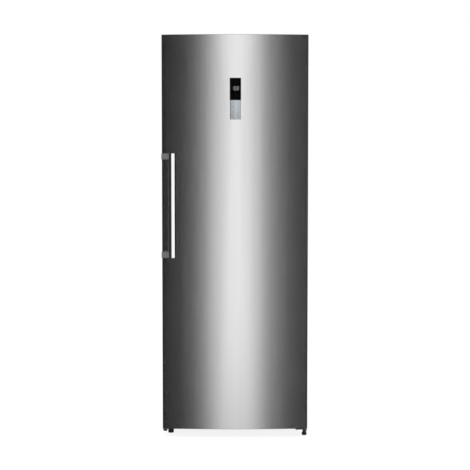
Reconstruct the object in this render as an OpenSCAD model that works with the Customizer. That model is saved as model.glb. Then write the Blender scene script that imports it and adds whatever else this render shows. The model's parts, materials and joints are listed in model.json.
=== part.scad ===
// Single door larder refrigerator: an insulated cabinet on two feet and two rollers, a convex metal
// door with a bar handle and a display, and inside it shelves, drawers, door bins and a fan duct.
// X runs to the right, Y to the back and Z up. The origin is on the floor, below the middle.

/* [Cabinet] */
// Width of the cabinet
cab_w = 664; // [620:2:720]
// Depth of the cabinet behind its front face
cab_d = 600; // [580:5:680]
// Height of the cabinet case
cab_h = 1806; // [1700:2:1900]
// Height of the case above the floor
floor_gap = 40; // [38:1:50]
// Thickness of the insulated side wall
wall_t = 50; // [46:1:60]
// Thickness of the insulated back wall
back_t = 50; // [40:1:60]
// Thickness of the insulated top
top_t = 55; // [45:1:70]
// Thickness of the insulated bottom
floor_t = 58; // [45:1:70]
// Thickness of the steel sheet
sheet_t = 1; // [0.8:0.1:1.5]
// Thickness of the base sheet and the front rail
base_t = 1.5; // [1.2:0.1:2.5]
// Width of the steel flange around the front
flange_w = 20; // [16:1:24]
// Outer radius of the bend at the front edge
bend_r = 3; // [2:0.5:5]
// Height of the rail under the front edge
rail_h = 14; // [13:0.5:16]
// Depth of the rail under the front edge
rail_d = 78; // [75:1:100]
// Number of stiffening beads in the back sheet
bead_n = 3; // [2:1:4]
// Width of a bead
bead_w = 24; // [16:1:30]
// Depth of a bead
bead_d = 4; // [2:0.5:6]
// Distance between the beads
bead_pitch = 170; // [120:5:180]

/* [Liner] */
// Wall of the plastic liner
liner_t = 1.5; // [1:0.1:2.5]
// Corner radius of the liner
liner_r = 24; // [16:1:30]
// Number of shelf ledges on each side
ledge_n = 10; // [9:1:12]
// How far a ledge stands out
ledge_out = 7; // [5:0.5:9]
// Height of a ledge
ledge_h = 12; // [9:1:16]
// Distance from the front face to the ledges
ledge_start = 32; // [28:1:60]
// Room above the uppermost ledge
top_room = 171; // [140:1:220]
// Room for the drawers under the lowest ledge
crisper_room = 262; // [240:1:300]

/* [Machine compartment] */
// Depth of the compartment
niche_d = 220; // [200:5:240]
// Height of the compartment
niche_h = 195; // [190:5:215]
// Insulation between the compartment and the inside
step_t = 48; // [40:1:60]
// Radius of the compressor shell
comp_r = 74; // [60:1:80]
// Height of the compressor shell
comp_h = 150; // [135:1:155]
// Distance of the rear cover in front of the back face
cover_in = 6; // [5:0.5:10]
// Number of louvred fields
louvre_n = 3; // [1:1:3]
// Width of a louvred field
louvre_w = 80; // [60:5:110]
// Distance between the fields
louvre_pitch = 170; // [130:5:180]
// Height of a louvre slot
slot_h = 5; // [4:0.5:7]
// Rows of louvre slots
slot_rows = 9; // [5:1:10]

/* [Door] */
// How much wider the door is than the cabinet, on each side
door_over = 3; // [0:0.5:5]
// Thickness of the door at its edges
door_t = 45; // [42:1:60]
// How far the front bulges in the middle
crown = 15; // [8:1:25]
// Radius of the rolled vertical edges
door_r = 9; // [6:1:12]
// Thickness of the door's metal skin
skin_t = 1; // [0.8:0.1:1.5]
// Visible rim of the plastic end caps
rim_h = 1; // [0.8:0.1:2]
// Depth of the end caps inside the skin
plug_h = 17; // [17:1:22]
// Width of the fold at the back of the skin
fold_w = 14; // [10:1:18]
// Compressed thickness of the gasket
gasket_t = 10; // [8:0.5:14]
// Width of the gasket
gasket_w = 22; // [18:1:26]
// How far the dyke of the door liner stands behind the door
dyke_out = 35; // [30:1:40]
// Width of the dyke
dyke_w = 22; // [18:1:28]
// Gap between the dyke and the cabinet liner
dyke_gap = 12; // [10:1:16]

/* [Hinges] */
// Distance of the hinge axis from the door's side
axis_in = 11; // [11:0.5:16]
// Distance of the hinge axis in front of the door's back face
axis_fwd = 18; // [17:0.5:24]
// Diameter of the hinge pins
pin_d = 8; // [6:0.5:9]
// Length of a hinge pin inside the door
pin_in = 11; // [8:1:12]
// Radial play of a pin in its bush
pin_play = 0.05; // [0.02:0.01:0.1]
// Outer diameter of the bushes
bush_d = 14; // [12:0.5:16]
// Thickness of the hinge plates
hinge_t = 3; // [2.5:0.5:4]
// How far the plug in the spare lower bush hole stands out
spare_out = 1.8; // [1.6:0.1:2.4]
// Width of the hinge tongues
tongue_w = 18; // [16:0.5:20]
// Play between a hinge plate and the door
hinge_gap = 0.3; // [0.2:0.1:0.6]
// Opening angle of the door
door_open = 120; // [90:5:120]
// Height of the covers on the top of the cabinet
cap_cover_h = 9; // [8:0.5:14]

/* [Feet and rollers] */
// Diameter of the right foot's base
foot_r_d = 22.8; // [20:0.2:28]
// Height of the right foot's base
foot_r_h = 12; // [8:0.5:15]
// Diameter of the feet's necks
foot_neck_d = 16; // [15:0.5:19]
// Diameter of the left foot
foot_l_d = 26.5; // [22:0.5:30]
// Distance of the left foot behind the front face
foot_l_in = 47; // [40:0.5:55]
// Distance of the left foot from the cabinet's side
foot_l_side = 30; // [25:1:45]
// Diameter of the feet's threaded studs
stud_d = 8; // [6:1:9]
// Diameter of the rear rollers
roller_d = 30; // [24:1:34]
// Width of the rear rollers
roller_w = 16; // [12:1:22]
// Diameter of the roller pins
roller_pin_d = 6; // [5:0.5:8]

/* [Handle] */
// How far the handle stands in front of the door's edge
handle_reach = 50; // [44:1:60]
// Length of the handle
handle_l = 474; // [350:2:600]
// Height of the handle's lower end above the floor
handle_z = 836; // [700:1:1000]
// Width of the bright face of the bar
bar_face = 15; // [12:0.5:20]
// How far the bright face is turned to the right
bar_turn = 16; // [0:1:18]
// Width of the slanted face of the bar
bar_bevel = 15; // [12:0.5:20]
// Thickness of the bar
bar_t = 12; // [9:0.5:15]
// Width of the handle's brackets
bracket_w = 31.6; // [26:0.2:34]
// Height of the handle's brackets
bracket_h = 25.5; // [22:0.5:34]

/* [Display] */
// Width of the display module
disp_w = 51.6; // [44:0.2:60]
// Distance of the display to the right of the door's middle
disp_x = 1.8; // [-30:0.1:30]
// Distance of the module's upper end below the top of the door
disp_drop = 196.5; // [150:0.5:300]
// Height of the dark window
lens_h = 98.6; // [80:0.2:110]
// Height of the keypad
pad_h = 86.6; // [70:0.2:100]
// Width of the rim around the window and the keypad
disp_rim = 1.6; // [1:0.1:3]
// Depth of the module in the door
disp_d = 16; // [14:1:20]
// How far the rim stands out of the door
disp_out = 1; // [0.5:0.1:2]
// Travel of a key
key_travel = 0.8; // [0.4:0.1:1.2]
// Gap around a key
key_gap = 0.3; // [0.2:0.05:0.5]

/* [Inside] */
// Distance of the shelves and drawers behind the front face
shelf_in = 115; // [112:1:140]
// Thickness of the shelf glass
glass_t = 4; // [3:0.5:6]
// Height of the shelf's front trim
trim_h = 14; // [10:0.5:18]
// Width of the fan duct
duct_w = 440; // [380:5:480]
// Depth of the fan duct
duct_d = 48; // [44:1:60]
// Width of the air outlets in the duct
outlet_w = 60; // [40:1:80]
// Height of an outlet slot
outlet_h = 5; // [4:0.5:6]
// Radius of the fan
fan_r = 48; // [40:1:55]
// Number of fan blades
fan_n = 7; // [5:1:9]
// Number of evaporator fins
fin_n = 20; // [12:1:24]
// Wall of the drawers and bins
tub_t = 2.5; // [2:0.1:3]
// Play around a drawer
drawer_gap = 3; // [2:0.5:4]
// How far the bins reach behind the cabinet's front face
bin_in = 98; // [80:1:100]
// Height of the bins
bin_h = 92; // [70:1:110]
// Height of the lugs that carry a bin
lug_h = 16; // [12:1:18]
// How far the lugs stand out
lug_out = 6; // [4:0.5:8]
// How much lower the bins are in front than at their ends
bin_low = 24; // [10:1:30]
// Width of the lamp
lamp_w = 120; // [80:2:180]
// Depth of the lamp
lamp_d = 60; // [40:1:80]
// How far the lamp hangs below the ceiling
lamp_h = 10; // [8.5:0.5:16]
// Distance of the lamp behind the front face
lamp_in = 150; // [100:5:200]
// Diameter of the bottle rack's wires
wire_d = 5; // [4:0.5:6]
// Number of wires in the bottle rack
wire_n = 14; // [10:2:18]

/* [Hidden] */
$fn = 48;

// Past a surface, so that a cut goes right through it
eps = 1;
// Gap between parts that move or are fitted by hand
fit = 0.3;

// Planes of the cabinet
hw = cab_w / 2;
y_f = (gasket_t + door_t + handle_reach - cab_d) / 2;
y_b = y_f + cab_d;
z_0 = floor_gap;
z_1 = floor_gap + cab_h;
in_x = hw - wall_t;
in_y = y_b - back_t;
in_z0 = z_0 + floor_t;
in_z1 = z_1 - top_t;

// Planes of the machine compartment and of the step that it makes inside
y_n = y_b - niche_d;
z_n = z_0 + niche_h;
y_s = y_n - step_t;
z_s = z_n + step_t;

// Planes of the door
y_d = y_f - gasket_t;
y_e = y_d - door_t;
door_x = hw + door_over;
door_z0 = z_0 + 1;
door_z1 = z_1 + hinge_t + 1;
front_r = (crown * crown + door_x * door_x) / (2 * crown);
front_cy = y_e - crown + front_r;
edge_cx = door_x - door_r;
edge_cy = round(1000 * (front_cy - sqrt(pow(front_r - door_r, 2) - edge_cx * edge_cx))) / 1000;
edge_a = atan2(edge_cx, front_cy - edge_cy);

// The dyke ring of the door liner and the well inside it
dyke_x = in_x - dyke_gap;
well_x = dyke_x - dyke_w;
dyke_z0 = in_z0 + dyke_gap;
dyke_z1 = in_z1 - dyke_gap;
well_z0 = dyke_z0 + dyke_w;
well_z1 = dyke_z1 - dyke_w;
dyke_r = liner_r - 4;

// Hinge axis and hinge plates
ax = door_x - axis_in;
ay = y_d - axis_fwd;
plate_z1 = z_0 - rail_h;
plate_z0 = plate_z1 - hinge_t;
boss_r = axis_in - 1;
spare_r = boss_r - 2;
pin_r = pin_d / 2;
foot_x = door_x - foot_r_d / 2 - 0.3;
foot_y = y_f - 3.4;
plate_in = 58;
plate_w = 40;
tab_w = 8;
screw_r = 2.5;
screw_head_r = 5;
screw_head_h = 2;

// Shelf ledges
ledge_z0 = in_z0 + crisper_room;
ledge_pitch = (in_z1 - top_room - ledge_z0) / (ledge_n - 1);
function ledge_z(i) = ledge_z0 + i * ledge_pitch;
shelf_rows = [0, 2, 6, 8];
rack_row = 4;
shelf_y0 = y_f + shelf_in;
duct_y = in_y - duct_d;
shelf_y1 = duct_y - 3;

// Fan duct
duct_z0 = ledge_z0 + 40;
duct_z1 = in_z1 - 90;
duct_wall = 2;
fan_z = duct_z1 - 2 * fan_r;
shaft_r = 2.5;
evap_z = duct_z0 + 60;
evap_h = 160;

// Handle: the bar's left end is where the brackets end
bracket_x = -door_x + bracket_w;
bar_y = y_e - handle_reach;
bar_z1 = handle_z + handle_l;

// Display module, which is let into the middle of the door
disp_h = pad_h + lens_h + 3 * disp_rim;
disp_z = door_z1 - disp_drop - disp_h;
disp_y = y_e - crown - disp_out;
pad_z = disp_z + disp_rim;
lens_z = pad_z + pad_h + disp_rim;
key_n = 4;
key_t = 2;

// Door bins, bottom to top
bin_n = 4;
bin_pitch = (well_z1 - well_z0 - 60) / bin_n;
function bin_z(i) = well_z0 + 30 + i * bin_pitch;

steel = "silver";
dark = "#303236";

// Points of an arc from angle a0 to a1
function arc(c, r, a0, a1, n = 6) =
    [for (i = [0:n]) c + r * [cos(a0 + (a1 - a0) * i / n), sin(a0 + (a1 - a0) * i / n)]];
function reverse(p) = [for (i = [len(p) - 1:-1:0]) p[i]];
function flip(p) = [for (q = reverse(p)) [-q.x, q.y]];

module box(x0, x1, y0, y1, z0, z1) translate([x0, y0, z0]) cube([x1 - x0, y1 - y0, z1 - z0]);
// A flat shape in X and Y raised from z0 to z1
module raise(z0, z1) translate([0, 0, z0]) linear_extrude(z1 - z0) children();
// A flat shape in X and Z drawn back from y0 to y1
module draw_back(y0, y1) translate([0, y1, 0]) rotate([90, 0, 0]) linear_extrude(y1 - y0) children();
// A flat shape in Y and Z drawn across from x0 to x1
module draw_across(x0, x1) translate([x0, 0, 0]) rotate([90, 0, 90]) linear_extrude(x1 - x0) children();
// A flat rectangle with round corners
module rounded(x0, x1, y0, y1, r) {
    for (x = [x0 + r, x1 - r], y = [y0 + r, y1 - r]) translate([x, y]) circle(r = r);
    translate([x0 + r, y0]) square([x1 - x0 - 2 * r, y1 - y0]);
    translate([x0, y0 + r]) square([x1 - x0, y1 - y0 - 2 * r]);
}
// A rod along Y
module rod_y(x, z, r, y0, y1) translate([x, y1, z]) rotate([90, 0, 0]) cylinder(r = r, h = y1 - y0);
// A rod along X
module rod_x(y, z, r, x0, x1) translate([x0, y, z]) rotate([0, 90, 0]) cylinder(r = r, h = x1 - x0);
// A rod along Z
module rod_z(x, y, r, z0, z1) translate([x, y, z0]) cylinder(r = r, h = z1 - z0);
module both_sides() {
    children();
    mirror([1, 0, 0]) children();
}

// Cabinet shell

bend_c = [hw - bend_r, y_f + bend_r];
side_outline = concat([[hw, y_b], [hw - sheet_t, y_b]], arc(bend_c, bend_r - sheet_t, 0, -90),
    [[hw - flange_w, y_f + sheet_t], [hw - flange_w, y_f]], arc(bend_c, bend_r, -90, 0));

module side_panel() raise(z_0, z_1 - sheet_t) polygon(side_outline);
module side_panel_right() color(steel) side_panel();
module side_panel_left() color(steel) mirror([1, 0, 0]) side_panel();

// Places of the hinges' screws, in X and Y
screw_pitch = 22;
top_row = [y_f + 30, y_f + 52];
bottom_row = [y_f + 18, y_f + 44];
top_screws = [[ax - 6, top_row[0]], [ax - 6 - screw_pitch, top_row[1]], [ax - 6 - 2 * screw_pitch, top_row[1]]];
bottom_screws = [[ax - 8 - screw_pitch, bottom_row[0]], [ax - 12, bottom_row[1]],
    [ax - 12 - screw_pitch, bottom_row[1]]];
top_screw_l = 14;

module top_screw_holes(z0, z1) for (p = top_screws) rod_z(p.x, p.y, screw_r + 0.1, z0, z1);

module top_panel() color(steel) difference() {
    union() {
        raise(z_1 - sheet_t, z_1) polygon(concat(arc(bend_c, bend_r, -90, 0), [[hw, y_b], [-hw, y_b]],
            arc([-bend_c.x, bend_c.y], bend_r, 180, 270)));
        box(-hw + flange_w, hw - flange_w, y_f, y_f + sheet_t, z_1 - flange_w, z_1 - sheet_t);
    }
    top_screw_holes(z_1 - top_screw_l, z_1 + eps);
}

// Beads pressed into the back sheet above the machine compartment; g is the sheet's thickness around them
bead_end = 60;
module back_beads(g) for (i = [0:bead_n - 1]) {
    x = (i - (bead_n - 1) / 2) * bead_pitch;
    draw_back(y_b - bead_d - g, y_b + (g > 0 ? 0 : eps))
        rounded(x - bead_w / 2 - g, x + bead_w / 2 + g, z_n + bead_end - g, z_1 - bead_end + g, bead_w / 3 + g);
}

// The back sheet turns in above the machine compartment and down in front of it
module back_panel() color("gainsboro") difference() {
    union() {
        back_sheet();
        back_beads(sheet_t);
    }
    back_beads(0);
    rod_z(drain_x, drain_y, drain_r, z_n - eps, z_n + sheet_t + eps);
}
module back_sheet() draw_across(-hw + sheet_t, hw - sheet_t) polygon([[y_b, z_1 - sheet_t], [y_b, z_n],
    [y_n, z_n], [y_n, z_0 + base_t], [y_n - sheet_t, z_0 + base_t], [y_n - sheet_t, z_n + sheet_t],
    [y_b - sheet_t, z_n + sheet_t], [y_b - sheet_t, z_1 - sheet_t]]);

// Drain spout of the liner, from the step down to the tray in the machine compartment
drain_x = -hw / 2 + 16;
drain_y = in_y - 16;
drain_r = 8;
drain_wall = 1.5;
drain_drop = 8;

foam_half = concat([[hw - sheet_t, y_b - sheet_t]], reverse(arc(bend_c, bend_r - sheet_t, -90, 0)));
foam_outline = concat(foam_half, flip(foam_half));

// Front outline of the inside, and of a ledge on its right wall; g is how far the walls are set out
module inside_shape(g) rounded(-in_x - g, in_x + g, in_z0 - g, in_z1 + g, liner_r + g);
function ledge(i, g) = let (x = in_x + g, z = ledge_z(i)) [[x + eps, z - ledge_h + g], [x, z - ledge_h + g],
    [x - ledge_out, z - ledge_h / 2 + g], [x - ledge_out, z - g], [x + eps, z - g]];

// The space inside the liner from y0 back, above the step over the machine compartment
module inside(g, y0) difference() {
    union() {
        draw_back(y0, y_f + ledge_start + g) inside_shape(g);
        draw_back(y_f + ledge_start + g, in_y + g) difference() {
            inside_shape(g);
            for (i = [0:ledge_n - 1]) both_sides() polygon(ledge(i, g));
        }
    }
    box(-hw, hw, y_s + g, y_b, in_z0 - 10, z_s - g);
}

module cabinet_foam() color("khaki") difference() {
    raise(z_0 + base_t, z_1 - sheet_t) polygon(foam_outline);
    inside(liner_t, y_f);
    back_beads(sheet_t);
    box(-hw, hw, y_n - sheet_t, y_b, 0, z_n + sheet_t);
    top_screw_holes(z_1 - top_screw_l - fit, z_1);
    rod_z(drain_x, drain_y, drain_r, z_n, z_s);
}

module inner_liner() color("white") difference() {
    union() {
        inside(liner_t, y_f + sheet_t);
        box(-hw + flange_w, hw - flange_w, y_f, y_f + sheet_t, z_0 + flange_w, z_1 - flange_w);
        rod_z(drain_x, drain_y, drain_r, z_n - drain_drop, z_s - liner_t / 2);
    }
    inside(0, y_f - eps);
    rod_z(drain_x, drain_y, drain_r - drain_wall, z_n - drain_drop - eps, z_s + eps);
}

// The base sheet, its front flange and the box rail below it that carries the hinge and the left foot
module base_plate() color(steel) difference() {
    union() {
        box(-hw + sheet_t, hw - sheet_t, y_f + sheet_t, y_n, z_0, z_0 + base_t);
        box(-hw + flange_w, hw - flange_w, y_f, y_f + sheet_t, z_0, z_0 + flange_w);
        difference() {
            box(-hw + sheet_t, hw - sheet_t, y_f + 3, y_f + rail_d, plate_z1, z_0);
            box(-hw, hw, y_f + 3 + base_t, y_f + rail_d - base_t, plate_z1 + base_t, z_0 - base_t);
        }
    }
    rod_z(-hw + foot_l_side, y_f + foot_l_in, stud_d / 2 + pin_play, plate_z1 - eps, plate_z1 + 2 * base_t);
    for (p = bottom_screws) rod_z(p.x, p.y, screw_r + 0.1, plate_z1 - eps, plate_z1 + 2 * base_t);
}

// Machine compartment

deck_lip = 12;
comp_x = 90;
comp_y = y_n + niche_d / 2 - 4;
grommet_h = 14;
grommet_r = 11;
mount_pitch_x = 175;
mount_pitch_y = 110;
roller_x = hw - 46;
roller_y = y_b - 70;
roller_z = roller_d / 2;
fork_t = 2.5;
fork_w = 26;

module at_mounts() for (sx = [-1, 1], sy = [-1, 1])
    translate([comp_x + sx * mount_pitch_x / 2, comp_y + sy * mount_pitch_y / 2, 0]) children();

fork_r = 8;
module fork_arm() {
    polygon([[roller_y + fork_w / 2, z_0], [roller_y - fork_w / 2, z_0], [roller_y - fork_r, roller_z],
        [roller_y + fork_r, roller_z]]);
    translate([roller_y, roller_z]) circle(r = fork_r);
}

module roller_fork(x) {
    side = roller_w / 2 + 1;
    draw_across(x - side - fork_t, x - side) fork_arm();
    draw_across(x + side, x + side + fork_t) fork_arm();
    rod_x(roller_y, roller_z, roller_pin_d / 2, x - side - fork_t - 1.5, x + side + fork_t + 1.5);
}

module compressor_deck() color(dark) {
    difference() {
        union() {
            box(-hw + sheet_t, hw - sheet_t, y_n, y_b - cover_in - sheet_t, z_0, z_0 + base_t);
            box(-hw + sheet_t, hw - sheet_t, y_b - cover_in - sheet_t - base_t, y_b - cover_in - sheet_t,
                z_0, z_0 + deck_lip);
        }
        at_mounts() cylinder(r = 4, h = z_0 + 2 * base_t);
    }
    roller_fork(roller_x);
    roller_fork(-roller_x);
}

module roller(x) color(dark) translate([x - roller_w / 2, roller_y, roller_z]) rotate([0, 90, 0])
    rotate_extrude() polygon([[roller_pin_d / 2 + pin_play, 0], [roller_d / 2 - 1.5, 0], [roller_d / 2, 1.5],
        [roller_d / 2, roller_w - 1.5], [roller_d / 2 - 1.5, roller_w], [roller_pin_d / 2 + pin_play, roller_w]]);
module roller_right() roller(roller_x);
module roller_left() roller(-roller_x);

module compressor_mounts() color("black") at_mounts() difference() {
    union() {
        translate([0, 0, z_0 + base_t]) cylinder(r = grommet_r, h = grommet_h);
        translate([0, 0, z_0 - 3]) cylinder(r = 4, h = grommet_h);
        translate([0, 0, z_0 + base_t + grommet_h]) cylinder(r = 5, h = 4);
    }
    translate([0, 0, z_0 - 4]) cylinder(r = 2, h = 2 * grommet_h);
}

// The shell is turned from one outline, with a dome on top, a weld band and a rounded bottom
comp_z = z_0 + base_t + grommet_h;
foot_t = 3;
module compressor() color("#202020") {
    difference() {
        union() {
            raise(comp_z, comp_z + foot_t) rounded(comp_x - mount_pitch_x / 2 - 14, comp_x + mount_pitch_x / 2 + 14,
                comp_y - mount_pitch_y / 2 - 12, comp_y + mount_pitch_y / 2 + 12, 12);
            translate([comp_x, comp_y, comp_z]) rotate_extrude() polygon(concat([[0, 0], [comp_r * 0.7, 0]],
                arc([comp_r - 20, 22], 20, -70, 0), [[comp_r, comp_h * 0.55], [comp_r + 3, comp_h * 0.55],
                [comp_r + 3, comp_h * 0.55 + 5], [comp_r - 1, comp_h * 0.55 + 5]],
                arc([comp_r - 46, comp_h - 45], 45, 0, 90), [[0, comp_h]]));
            // Starter box on the shell's left side
            raise(comp_z + 24, comp_z + 92)
                rounded(comp_x - comp_r - 24, comp_x - comp_r + 20, comp_y - 30, comp_y + 30, 6);
        }
        at_mounts() cylinder(r = 5, h = comp_z + 2 * foot_t);
        for (p = [suction[0], discharge[0]]) rod_z(p.x, p.y, tube_r + 0.1, p.z, comp_z + comp_h + eps);
    }
}

// Points of a bent tube: a straight run, then each corner rounded with radius r
function unit(v) = v / norm(v);
function bend_points(a, b, c, r, n = 6) = let (u = unit(a - b), w = unit(c - b),
    half = acos(max(-1, min(1, u * w))) / 2, p = b + u * r / tan(half), q = b + w * r / tan(half),
    centre = b + unit(u + w) * r / sin(half))
    [for (i = [0:n]) let (t = i / n, s = p + (q - p) * t) centre + unit(s - centre) * r];
function route(points, r) = concat([points[0]],
    [for (i = [1:len(points) - 2]) each bend_points(points[i - 1], points[i], points[i + 1], r)],
    [points[len(points) - 1]]);

// Sides of a tube's ring, carried along the route without twist
tube_sides = 8;
function ring_frame(t, up) = let (s = unit(cross(t, up))) [s, cross(t, s)];
function tangent(p, i) = unit(p[min(i + 1, len(p) - 1)] - p[max(i - 1, 0)]);
module tube(points, r, up) {
    n = len(points);
    rings = [for (i = [0:n - 1]) let (f = ring_frame(tangent(points, i), up)) each
        [for (k = [0:tube_sides - 1]) let (a = 360 * k / tube_sides) points[i] + r * (f[0] * cos(a) + f[1] * sin(a))]];
    faces = concat([[for (k = [0:tube_sides - 1]) k]],
        [for (i = [0:n - 2], k = [0:tube_sides - 1]) let (a = i * tube_sides, m = (k + 1) % tube_sides)
            [a + k, a + tube_sides + k, a + tube_sides + m, a + m]],
        [[for (k = [tube_sides - 1:-1:0]) (n - 1) * tube_sides + k]]);
    polyhedron(rings, faces);
}

// Suction and discharge tubes and the filter drier of the machine compartment
tube_r = 3.5;
tube_bend = 14;
suction = [[comp_x + 30, comp_y, comp_z + comp_h - 20], [comp_x + 30, comp_y, z_n - 8],
    [comp_x + 150, comp_y - 10, z_n - 8], [comp_x + 150, y_n, z_n - 8]];
discharge = [[comp_x - 40, comp_y + 20, comp_z + comp_h - 30], [comp_x - 40, comp_y + 20, z_n - 12],
    [-140, comp_y + 20, z_n - 12], [-140, comp_y + 20, 110], [-240, comp_y + 20, 110], [-240, y_n, 110]];
module refrigerant_tubes() color("#b87333") {
    tube(route(suction, tube_bend), tube_r, [0.1, 1, 0.2]);
    tube(route(discharge, tube_bend), tube_r, [0.1, 1, 0.2]);
    translate([-140, comp_y + 20, 130]) cylinder(r = 9, h = 60);
}

// Evaporation tray that sits on the compressor deck, left of the compressor
module drain_tray() color("lightgrey") {
    x0 = -hw + 60;
    x1 = comp_x - comp_r - 60;
    tray_y1 = drain_y + 24;
    difference() {
        raise(z_0 + base_t, z_0 + base_t + 26) rounded(x0, x1, y_n + 12, tray_y1, 10);
        raise(z_0 + base_t + 2, z_0 + base_t + 30) rounded(x0 + 2, x1 - 2, y_n + 14, tray_y1 - 2, 8);
    }
}

gland_x = -hw + 70;
gland_z = z_0 + 50;
gland_r = 11;
cord_r = 4;
cover_y = y_b - cover_in - sheet_t;

// Louvred cover behind the machine compartment
slot_z0 = z_0 + 36;
slot_pitch = (niche_h - 50) / slot_rows;
module rear_cover() color("dimgrey") difference() {
    union() {
        box(-hw + sheet_t, hw - sheet_t, cover_y, y_b - cover_in, z_0, z_n);
        both_sides() box(hw - 16, hw - sheet_t, cover_y, y_b - 1, z_0, z_n);
    }
    for (k = [0:louvre_n - 1], i = [0:slot_rows - 1]) {
        x = (k - (louvre_n - 1) / 2) * louvre_pitch;
        z = slot_z0 + i * slot_pitch;
        box(x - louvre_w / 2, x + louvre_w / 2, cover_y - eps, y_b, z, z + slot_h);
    }
    rod_y(gland_x, gland_z, gland_r - 3, cover_y - eps, y_b);
}

module cord_gland() color("black") translate([gland_x, y_b - 1, gland_z]) rotate([90, 0, 0]) difference() {
    union() {
        cylinder(r = gland_r, h = cover_in - 1);
        cylinder(r = gland_r - 3, h = cover_in - 1 + sheet_t);
        translate([0, 0, cover_in - 1 + sheet_t]) cylinder(r = gland_r - 1, h = 4);
    }
    translate([0, 0, -eps]) cylinder(r = cord_r, h = 30);
}

// Feet

module foot_right() color(dark) translate([foot_x, foot_y, 0]) rotate_extrude() polygon([[0, 0],
    [foot_r_d / 2 - 1, 0], [foot_r_d / 2, 1], [foot_r_d / 2, foot_r_h], [foot_neck_d / 2, foot_r_h + 2],
    [foot_neck_d / 2, plate_z0 - fit], [stud_d / 2, plate_z0 - fit], [stud_d / 2, plate_z1 + 7], [0, plate_z1 + 7]]);
module foot_left() color(dark) translate([-hw + foot_l_side, y_f + foot_l_in, 0]) rotate_extrude() polygon(concat(
    [[0, 0]], arc([foot_l_d / 2 - 1, 1], 1, -90, 0, 4), [[foot_l_d / 2, 17], [foot_neck_d / 2, 18.5],
    [foot_neck_d / 2, plate_z1 - fit], [stud_d / 2, plate_z1 - fit], [stud_d / 2, plate_z1 + 9], [0, plate_z1 + 9]]));

// Hinges

// A plate between x0 and x1 and back to y1, with a tongue from y0 forward to its round end at the pin
module hinge_plate(x0, x1, y0, y1) {
    translate([x0, y0]) square([x1 - x0, y1 - y0]);
    translate([ax - tongue_w / 2, ay]) square([tongue_w, y0 - ay]);
    translate([ax, ay]) circle(r = tongue_w / 2);
}
cover_wall = 1.5;
cover_front = 8;
plate_front = cover_front + 10;
top_plate_x1 = hw - 1 - cover_wall - fit;

module top_hinge() color(steel) {
    difference() {
        raise(z_1, z_1 + hinge_t) hinge_plate(ax - 60, top_plate_x1, y_f + plate_front, y_f + plate_in + 10);
        top_screw_holes(z_1 - eps, z_1 + hinge_t + eps);
    }
    rod_z(ax, ay, pin_r, door_z1 - hinge_t - pin_in, z_1 + hinge_t);
}

module bottom_hinge() color(dark) {
    difference() {
        union() {
            raise(plate_z0, plate_z1) hinge_plate(ax - plate_w, hw - sheet_t, y_f + fit, y_f + plate_in);
            // Stop tab at the plate's left end
            box(ax - plate_w, ax - plate_w + tab_w, y_f - 5, y_f + 2, plate_z0, plate_z1);
        }
        rod_z(foot_x, foot_y, stud_d / 2 + pin_play, plate_z0 - eps, plate_z1 + eps);
        for (p = bottom_screws) rod_z(p.x, p.y, screw_r + 0.1, plate_z0 - eps, plate_z1 + eps);
    }
    rod_z(ax, ay, pin_r, plate_z1, door_z0 + pin_in);
}

module hinge_screws() color(steel) {
    for (p = top_screws) {
        rod_z(p.x, p.y, screw_r, z_1 - top_screw_l, z_1 + hinge_t);
        rod_z(p.x, p.y, screw_head_r, z_1 + hinge_t, z_1 + hinge_t + screw_head_h);
    }
    for (p = bottom_screws) {
        rod_z(p.x, p.y, screw_r, plate_z0, plate_z1 + base_t + 4);
        rod_z(p.x, p.y, screw_head_r, plate_z0 - screw_head_h, plate_z0);
    }
}

// A hollow cover on top of the cabinet, open below and, for the hinge, towards the door
module top_cover(open_front) {
    x0 = ax - 70;
    y0 = y_f + cover_front;
    y1 = y_f + plate_in + 20;
    w = cover_wall;
    difference() {
        raise(z_1, z_1 + cap_cover_h) rounded(x0, hw - 1, y0, y1, 8);
        raise(z_1 - eps, z_1 + cap_cover_h - w) rounded(x0 + w, hw - 1 - w, y0 + w, y1 - w, 8 - w);
        if (open_front) box(ax - tongue_w / 2 - 1, hw, y0 - eps, y_f + plate_front, z_1 - eps, z_1 + hinge_t + fit);
    }
}
module hinge_covers() color(dark) {
    top_cover(true);
    mirror([1, 0, 0]) top_cover(false);
}

// Door

// Where the bulge, set in by g, runs into the rolled edge
function junction_x(g) = (front_r - g) * sin(edge_a);
// The door between z0 and z1, set in by g: the bulge, the rolled edges that are tangent to it, and the sides
module door_body(g, z0, z1) {
    intersection() {
        translate([0, front_cy, z0]) cylinder(r = front_r - g, h = z1 - z0, $fn = 720);
        box(-junction_x(g), junction_x(g), y_e - crown - eps, y_d - g, z0, z1);
    }
    both_sides() rod_z(edge_cx, edge_cy, door_r - g, z0, z1);
    box(-door_x + g, door_x - g, edge_cy, y_d - g, z0, z1);
}

skin_z0 = door_z0 + rim_h;
skin_z1 = door_z1 - rim_h;
foam_z0 = skin_z0 + plug_h;
foam_z1 = skin_z1 - plug_h;

// Studs that hold the handle from inside the door, in X and Z
stud_x = -door_x + 17;
handle_studs = [for (z = [handle_z, bar_z1 - bracket_h], k = [0.28, 0.72]) [stud_x, z + k * bracket_h]];
stud_y = y_e + fit;
stud_head_h = 4;

module at_display() translate([disp_x, 0, 0]) children();
module display_pocket(grow) at_display() box(-disp_w / 2 - grow, disp_w / 2 + grow,
    disp_y - 2, disp_y + disp_d + grow, disp_z - grow, disp_z + disp_h + grow);

// Room for the fixed hinge tongue as the door turns under it
pocket_r = tongue_w / 2 + 1;
pocket_end = [ax, ay] + pocket_r * [cos(270 - (door_open - 90)), sin(270 - (door_open - 90))]
    + 40 * [cos(90 - door_open), sin(90 - door_open)];
tongue_pocket = concat([[ax - pocket_r, y_d + eps]], arc([ax, ay], pocket_r, 180, 270 - (door_open - 90)),
    [pocket_end, [pocket_end.x, y_d + eps]]);
module tongue_room() raise(z_1 - hinge_gap, door_z1 + eps) polygon(tongue_pocket);

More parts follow.
